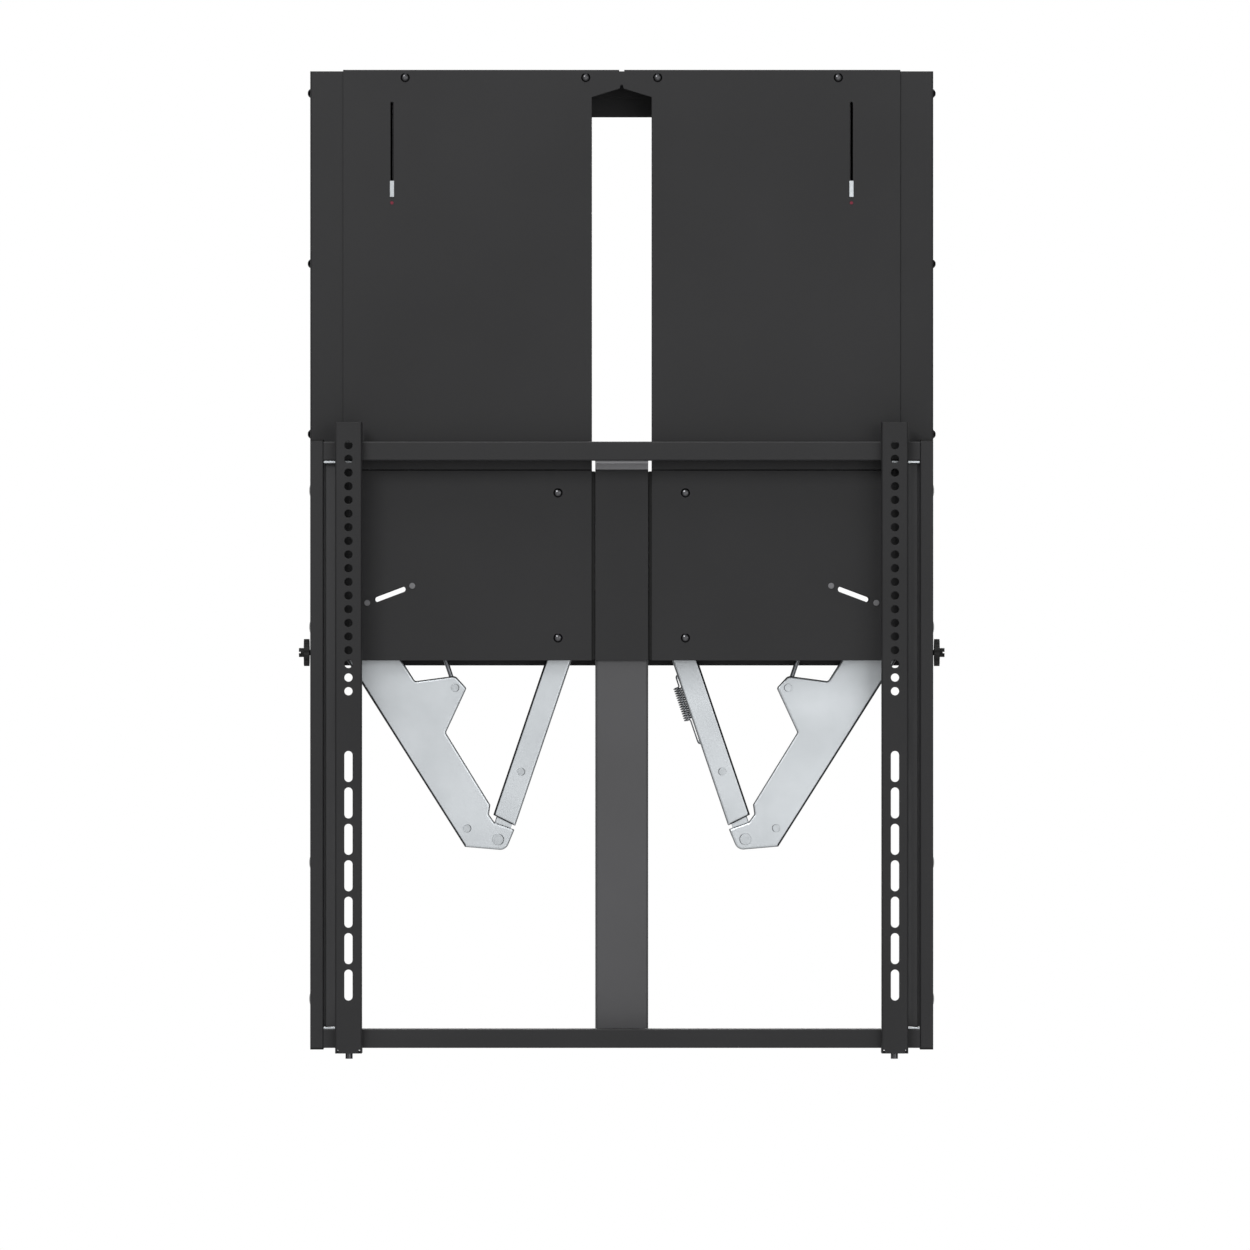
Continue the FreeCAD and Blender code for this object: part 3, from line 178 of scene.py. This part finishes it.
def powder_coat(name, dark, light, roughness, shine):
    """Powder coat on steel: a fine orange-peel grain that breaks up the shine."""
    material, tree, place = new_material(name)
    clouds = add(
        tree, "ShaderNodeTexNoise", Vector=place, Scale=scale_for(PAINT_CLOUDS_MM), Detail=3.0,
    )
    peel = add(
        tree, "ShaderNodeTexNoise", Vector=place, Scale=scale_for(ORANGE_PEEL_MM), Detail=2.0,
    )
    edges = add(tree, "ShaderNodeBevel", {"samples": 4}, Radius=EDGE_ROUNDING_MM * MM)
    bump = add(
        tree, "ShaderNodeBump", Height=peel.outputs["Fac"],
        Strength=0.12, Distance=0.3 * MM, Normal=edges.outputs["Normal"],
    )
    coat = add(
        tree, "ShaderNodeBsdfPrincipled",
        Base_Color=spread(tree, clouds.outputs["Fac"], dark, light),
        Roughness=roughness, IOR=1.5, Specular_IOR_Level=shine, Normal=bump.outputs["Normal"],
    )
    close(tree, coat)
    return material


def painted_fold_shade(tree, place):
    """Mask of a painted shade: 1 along each arm's folded edge, the one away from the column, and 0
    elsewhere.
    """
    rounded = add(tree, "ShaderNodeBevel", {"samples": 8}, Radius=FOLD_ROUNDING_MM * MM)
    normal = add(
        tree, "ShaderNodeVectorTransform",
        {"vector_type": "NORMAL", "convert_from": "WORLD", "convert_to": "OBJECT"},
        Vector=rounded.outputs["Normal"],
    )
    sideways = add(tree, "ShaderNodeSeparateXYZ", Vector=normal.outputs["Vector"]).outputs["X"]
    side = add(tree, "ShaderNodeSeparateXYZ", Vector=place).outputs["X"]
    outside = add(tree, "ShaderNodeMath", {"operation": "SIGN"}, Value=side).outputs[0]
    outward = add(tree, "ShaderNodeMath", {"operation": "MULTIPLY"}, {0: sideways, 1: outside})
    line = add(
        tree, "ShaderNodeMapRange", Value=outward.outputs[0], From_Min=0.12, From_Max=0.3,
    )
    return line.outputs["Result"]


def rolled_zinc(name, dark, light, edge, fold):
    """Zinc-plated sheet: a cool pale grey with soft cloudy patches and a faint rolling grain.

    Bends and cut edges, which don't lie flat against the wall, are painted a darker colour than the
    faces: painted shade. The fold along each arm's edge away from the column gets a darker
    painted shade still and shows as a dark line.
    """
    material, tree, place = new_material(name)
    face = add(
        tree, "ShaderNodeMapRange", Value=facing_wall(tree), From_Min=0.4, From_Max=0.95,
    )
    patches = add(
        tree, "ShaderNodeTexNoise", Vector=place, Scale=scale_for(ZINC_PATCHES_MM), Detail=4.0,
    )
    stretch = add(tree, "ShaderNodeMapping", Vector=place, Scale=(1.0, 1.0, 0.06))
    grain = add(
        tree, "ShaderNodeTexNoise",
        Vector=stretch.outputs["Vector"], Scale=scale_for(ROLLING_MARKS_MM),
    )
    edges = add(tree, "ShaderNodeBevel", {"samples": 4}, Radius=EDGE_ROUNDING_MM * MM)
    bump = add(
        tree, "ShaderNodeBump", Height=grain.outputs["Fac"],
        Strength=0.08, Distance=0.2 * MM, Normal=edges.outputs["Normal"],
    )
    # A Mix node's colours are its slots 6 and 7, and its output 2
    zinc = spread(tree, patches.outputs["Fac"], dark, light)
    # Painted shade: surfaces turning away from the front fade to the darker edge colour
    faces = {0: face.outputs["Result"], 6: linear(edge), 7: zinc}
    plain = add(tree, "ShaderNodeMix", {"data_type": "RGBA"}, faces)
    # Painted shade: the outward fold takes the dark fold colour
    folds = {0: painted_fold_shade(tree, place), 6: plain.outputs[2], 7: linear(fold)}
    shaded = add(tree, "ShaderNodeMix", {"data_type": "RGBA"}, folds)
    sheet = add(
        tree, "ShaderNodeBsdfPrincipled",
        Base_Color=shaded.outputs[2],
        Metallic=0.85, Roughness=0.36, Normal=bump.outputs["Normal"],
    )
    close(tree, sheet)
    return material


def turned_steel(name, dark, light, roughness):
    """Bright turned or drawn steel: fine marks left by the tool, seen as slight changes of shade."""
    material, tree, place = new_material(name)
    marks = add(
        tree, "ShaderNodeTexNoise", Vector=place, Scale=scale_for(TURNING_MARKS_MM), Detail=3.0,
    )
    steel = add(
        tree, "ShaderNodeBsdfPrincipled",
        Base_Color=spread(tree, marks.outputs["Fac"], dark, light),
        Metallic=1.0, Roughness=roughness,
    )
    close(tree, steel)
    return material


def domed_screws(name, painted_rim_shade, painted_crown_highlight, roughness):
    """Black oxide on domed heads, with a painted highlight on the crown and painted shade on the rim.
    """
    material, tree, place = new_material(name)
    oxide = add(
        tree, "ShaderNodeTexNoise", Vector=place, Scale=scale_for(OXIDE_GRAIN_MM), Detail=2.0,
    )
    bump = add(
        tree, "ShaderNodeBump", Height=oxide.outputs["Fac"], Strength=0.05, Distance=0.1 * MM,
    )
    steel = add(
        tree, "ShaderNodeBsdfPrincipled",
        # Painted highlight and shade: the crown, facing the front, is lighter and the rim darker
        Base_Color=spread(tree, facing_wall(tree), painted_rim_shade, painted_crown_highlight, 0.88, 0.98),
        Metallic=1.0, Roughness=roughness, Normal=bump.outputs["Normal"],
    )
    close(tree, steel)
    return material


def moulded_nylon(name, dark, light, roughness, shine):
    """Moulded nylon: an even, soft shine with a slight, fine texture from the mould."""
    material, tree, place = new_material(name)
    texture = add(
        tree, "ShaderNodeTexNoise", Vector=place, Scale=scale_for(MOULD_TEXTURE_MM), Detail=2.0,
    )
    bump = add(
        tree, "ShaderNodeBump", Height=texture.outputs["Fac"], Strength=0.1, Distance=0.2 * MM,
    )
    plastic = add(
        tree, "ShaderNodeBsdfPrincipled",
        Base_Color=spread(tree, texture.outputs["Fac"], dark, light),
        Roughness=roughness, IOR=1.53, Specular_IOR_Level=shine, Normal=bump.outputs["Normal"],
    )
    close(tree, plastic)
    return material


FINISHES = {
    "box_paint": powder_coat("charcoal powder coat", "#19191a", "#1d1d1e", 0.55, 0.2),
    "frame_coat": powder_coat("charcoal coat on drawn profiles", "#1b1b1c", "#1f1f20", 0.5, 0.2),
    # Painted light: paler than the frame's coat, lifting the rails out of the shade of their recess
    "rail_painted_light_coat": powder_coat("charcoal coat on the slide rails", "#323233", "#363637", 0.5, 0.2),
    "column_coat": powder_coat("grey satin coat", "#3b3b3c", "#404042", 0.45, 0.3),
    # Painted light: paler than the column's coat, lifting the head out of the crossbar's shadow
    "head_painted_light_coat": powder_coat("grey coat on the column's head", "#727274", "#78787a", 0.45, 0.3),
    # Paler than the column's coat, on the rivet heads of the lock slot
    "paler_rivet_coat": powder_coat("paler coat on rivet heads", "#5a5a5c", "#606062", 0.45, 0.3),
    # Painted highlight and shade: the screws' crowns are lighter and their rims darker
    "black_screws": domed_screws("black oxide steel", "#0e0e0f", "#565658", 0.2),
    "black_nylon": moulded_nylon("black nylon", "#0b0b0b", "#111111", 0.6, 0.15),
    "red_mark": moulded_nylon("red nylon", "#561422", "#601828", 0.5, 0.2),
    "bright_pins": turned_steel("bright turned steel", "#a4a8ab", "#b2b6b9", 0.3),
    "spring_steel": turned_steel("drawn spring steel", "#606265", "#747679", 0.35),
    # Painted shade in the last two colours: the darker edges and bends, and the dark outward fold
    "zinc_sheet": rolled_zinc("zinc-plated sheet", "#aaaeb1", "#b6babd", "#4c4e50", "#242628"),
}

# Nodes whose coat is paler than the rest of their material slot. On the column's head and the
# slide rails this is painted light, which lifts them out of the shade cast on them.
PALER_NODES = {
    "lock_slot_rivets": "paler_rivet_coat",
    "column_head_bracket": "head_painted_light_coat",
    "slide_rail_left": "rail_painted_light_coat",
    "slide_rail_right": "rail_painted_light_coat",
}


def dress_nodes():
    """Gives every CAD node the finish of its material slot, or its own paler one."""
    for part in frame["record"]["subparts"]:
        name = part["node"]
        materials = frame["nodes"][name].data.materials
        materials.clear()
        materials.append(FINISHES[PALER_NODES.get(name, part["material_slot"])])


def select_wire_end(mesh, height, side, wire):
    """In object mode, selects the wire's open end at this height, on this side of the axis."""
    reach = 1.01 * wire
    for vertex in mesh.vertices:
        place = vertex.co
        in_section = abs(place.y) < 1e-6 and place.x * side > 0
        vertex.select = in_section and abs(place.z - height) < reach
    for edge in mesh.edges:
        edge.select = all(mesh.vertices[i].select for i in edge.vertices)


def wind_coil(name, radius, wire, length, turns):
    """The coil alone, on the Z axis from the origin up, as an open tube.

    Half a turn more than stated leaves its two ends on opposite sides of the axis.
    """
    bpy.ops.object.select_all(action="DESELECT")
    bpy.ops.mesh.primitive_circle_add(vertices=WIRE_SIDES, radius=wire, location=(0, 0, 0))
    coil = bpy.context.object
    coil.name = name
    bpy.ops.object.mode_set(mode="EDIT")
    bpy.ops.mesh.select_all(action="SELECT")
    bpy.ops.transform.rotate(value=math.pi / 2, orient_axis="X", center_override=(0, 0, 0))
    bpy.ops.transform.translate(value=(radius, 0, 0))
    bpy.ops.object.mode_set(mode="OBJECT")
    winding = coil.modifiers.new("winding", "SCREW")
    winding.axis = "Z"
    winding.angle = 2 * math.pi * (turns + 0.5)
    winding.screw_offset = length
    winding.steps = winding.render_steps = int(STEPS_A_TURN * (turns + 0.5))
    winding.use_smooth_shade = True
    bpy.ops.object.modifier_apply(modifier=winding.name)
    return coil


def draw_out_end(coil, radius, wire, height, side, way, tail, post):
    """Leads one end of the wire to the axis, along it, and round a post where there is one.

    The end lies on one side of the axis, and its tail points one way along it. The post is the
    offset of its axis and the radius of the wire's middle round it.
    """
    select_wire_end(coil.data, height, side, wire)
    bend = post[0] - post[1] if post else 2 * wire
    bpy.ops.object.mode_set(mode="EDIT")
    bpy.ops.mesh.select_mode(type="EDGE")
    middle = (side * radius / 2, 0, height)
    bpy.ops.mesh.spin(steps=10, angle=way * math.pi, center=middle, axis=(0, 0, 1))
    corner = (0, 0, height + way * bend)
    bpy.ops.mesh.spin(steps=6, angle=way * math.pi / 2, center=corner, axis=(1, 0, 0))
    straight = {"value": (0, 0, way * (tail - bend))}
    bpy.ops.mesh.extrude_region_move(TRANSFORM_OT_translate=straight)
    if post:
        centre = (0, -post[0], height + way * tail)
        bpy.ops.mesh.spin(steps=20, angle=-way * HOOK_ANGLE, center=centre, axis=(1, 0, 0))
    bpy.ops.mesh.edge_face_add()
    bpy.ops.mesh.select_all(action="DESELECT")
    bpy.ops.object.mode_set(mode="OBJECT")


def wind_spring(name, radius, wire, length, turns, lower_end, upper_end):
    """A tension spring on the Z axis, wound from one wire. Each end is its tail and its post."""
    spring = wind_coil(name, radius, wire, length, turns)
    draw_out_end(spring, radius, wire, 0.0, 1, -1, *lower_end)
    draw_out_end(spring, radius, wire, length, -1, 1, *upper_end)
    bpy.ops.object.mode_set(mode="EDIT")
    bpy.ops.mesh.select_all(action="SELECT")
    bpy.ops.mesh.normals_make_consistent(inside=False)
    bpy.ops.object.mode_set(mode="OBJECT")
    bpy.ops.object.shade_smooth_by_angle(angle=math.radians(60))
    return spring


def settle(piece, matrix):
    """Turns a piece built at the origin into its place, in its mesh."""
    piece.matrix_world = matrix
    bpy.ops.object.select_all(action="DESELECT")
    piece.select_set(True)
    bpy.context.view_layer.objects.active = piece
    bpy.ops.object.transform_apply(location=True, rotation=True, scale=True)


def finish_spring(spring, body, node):
    """Dresses a wound spring, which takes the place of the node's plain one on this body."""
    spring.data.materials.clear()
    spring.data.materials.append(FINISHES["spring_steel"])
    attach(spring, body)
    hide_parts(node)


def hang_balance_springs(side):
    """The two long springs of one side, carried by the tension nut; the real ones close up as the
    yoke below them rises.
    """
    node = f"balance_springs_{side}"
    low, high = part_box(node)
    radius = (high.y - low.y) / 2 - BALANCE_WIRE
    y = (low.y + high.y) / 2
    length = high.z - low.z - 2 * BALANCE_TAIL
    end = (BALANCE_TAIL, None)
    coils = []
    for x in (low.x + radius + BALANCE_WIRE, high.x - radius - BALANCE_WIRE):
        spring = wind_spring(f"coil_{side}", radius, BALANCE_WIRE, length, BALANCE_TURNS, end, end)
        settle(spring, Matrix.Translation((x, y, low.z + BALANCE_TAIL)))
        coils.append(spring)
    bpy.ops.object.select_all(action="DESELECT")
    for coil in coils:
        coil.select_set(True)
    bpy.context.view_layer.objects.active = coils[0]
    bpy.ops.object.join()
    pair = bpy.context.object
    pair.name = f"balance_coils_{side}"
    finish_spring(pair, f"tension_nut_{side}", node)
    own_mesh(pair)


def hang_latch_spring():
    """The small spring beside the right connecting rod, hooked on its two posts."""
    low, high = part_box("latch_posts")
    wire_low, wire_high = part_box("latch_spring")
    y = (wire_low.y + wire_high.y) / 2
    lower = Vector((high.x - LATCH_POST, y, low.z + LATCH_POST))
    upper = Vector((low.x + LATCH_POST, y, high.z - LATCH_POST))
    up = (upper - lower).normalized()
    across = Vector((0, 1, 0))
    towards = up.cross(across)
    length = (upper - lower).length - LATCH_TAIL - LATCH_NECK
    post = (LATCH_INSET, LATCH_POST + LATCH_WIRE)
    spring = wind_spring(
        "latch_coil", LATCH_RADIUS, LATCH_WIRE, length, LATCH_TURNS,
        (LATCH_TAIL, post), (LATCH_NECK, post),
    )
    start = lower + up * LATCH_TAIL + towards * LATCH_INSET
    turn = Matrix((across, towards, up)).transposed().to_4x4()
    settle(spring, Matrix.Translation(start) @ turn)
    finish_spring(spring, "rod_arm_right", "latch_spring")


def lay_floor():
    """A pale matt floor well below the mount, which the camera sees as white."""
    low = cad_box[0]
    bpy.ops.object.select_all(action="DESELECT")
    bpy.ops.mesh.primitive_plane_add(size=FLOOR_SIZE, location=(0, 0, low.z - FLOOR_DROP))
    floor = bpy.context.object
    floor.name = "floor"
    material, tree, _ = new_material("pale floor")
    matt = add(tree, "ShaderNodeBsdfDiffuse", Color=linear("#f2f2f2"))
    white = add(tree, "ShaderNodeEmission", Color=linear("#ffffff"), Strength=1.0)
    path = add(tree, "ShaderNodeLightPath").outputs
    both = {0: path["Is Camera Ray"], 1: matt.outputs[0], 2: white.outputs[0]}
    close(tree, add(tree, "ShaderNodeMixShader", slots=both))
    floor.data.materials.append(material)


def hang_backdrop():
    """A world that is white to the camera and, in front and behind, to shiny things."""
    world = bpy.data.worlds.new("studio")
    bpy.context.scene.world = world
    world.use_nodes = True
    tree = world.node_tree
    tree.nodes.clear()
    path = add(tree, "ShaderNodeLightPath").outputs
    straight = {0: path["Is Camera Ray"], 1: path["Is Transmission Ray"]}
    seen = add(tree, "ShaderNodeMath", {"operation": "MAXIMUM"}, straight)
    either = {0: seen.outputs[0], 1: path["Is Glossy Ray"]}
    shown = add(tree, "ShaderNodeMath", {"operation": "MAXIMUM"}, either)
    # Reflections fall off towards the sides, so that bends show dark
    place = add(tree, "ShaderNodeTexCoord").outputs["Generated"]
    across = add(tree, "ShaderNodeSeparateXYZ", Vector=place).outputs["Y"]
    depth = add(tree, "ShaderNodeMath", {"operation": "ABSOLUTE"}, Value=across).outputs[0]
    fall = add(
        tree, "ShaderNodeMapRange", Value=depth,
        From_Min=SIDE_LIMIT, From_Max=FRONT_LIMIT, To_Min=SIDE_REFLECTION, To_Max=1.0,
    )
    levels = {0: path["Is Glossy Ray"], 2: 1.0, 3: fall.outputs["Result"]}
    level = add(tree, "ShaderNodeMix", {"data_type": "FLOAT"}, levels)
    soft = add(tree, "ShaderNodeBackground", Color=linear("#ffffff"), Strength=SOFT_LIGHT)
    white = add(tree, "ShaderNodeBackground", Color=linear("#ffffff"), Strength=level.outputs[0])
    both = {0: shown.outputs[0], 1: soft.outputs[0], 2: white.outputs[0]}
    mix = add(tree, "ShaderNodeMixShader", slots=both)
    add(tree, "ShaderNodeOutputWorld", Surface=mix.outputs[0])


def hang_lamps():
    for name, place, size, watts in LAMPS:
        data = bpy.data.lights.new(name, "AREA")
        data.energy = watts
        data.shape = "SQUARE"
        data.size = size
        lamp = bpy.data.objects.new(name, data)
        bpy.context.scene.collection.objects.link(lamp)
        lamp.location = place
        lamp.rotation_euler = (VIEW_CENTRE - Vector(place)).to_track_quat("-Z", "Y").to_euler()


def place_camera():
    data = bpy.data.cameras.new("camera")
    data.sensor_width = SENSOR
    data.lens = SENSOR * CAMERA_DISTANCE / VIEW_WIDTH
    data.clip_end = 3 * CAMERA_DISTANCE
    camera = bpy.data.objects.new("camera", data)
    bpy.context.scene.collection.objects.link(camera)
    camera.location = VIEW_CENTRE + Vector((0, VIEW_PLANE - CAMERA_DISTANCE, 0))
    camera.rotation_euler = (math.pi / 2, 0, 0)
    bpy.context.scene.camera = camera


bpy.context.scene.view_settings.view_transform = "Standard"
dress_nodes()
for side in ("left", "right"):
    hang_balance_springs(side)
hang_latch_spring()
lay_floor()
hang_backdrop()
hang_lamps()
place_camera()
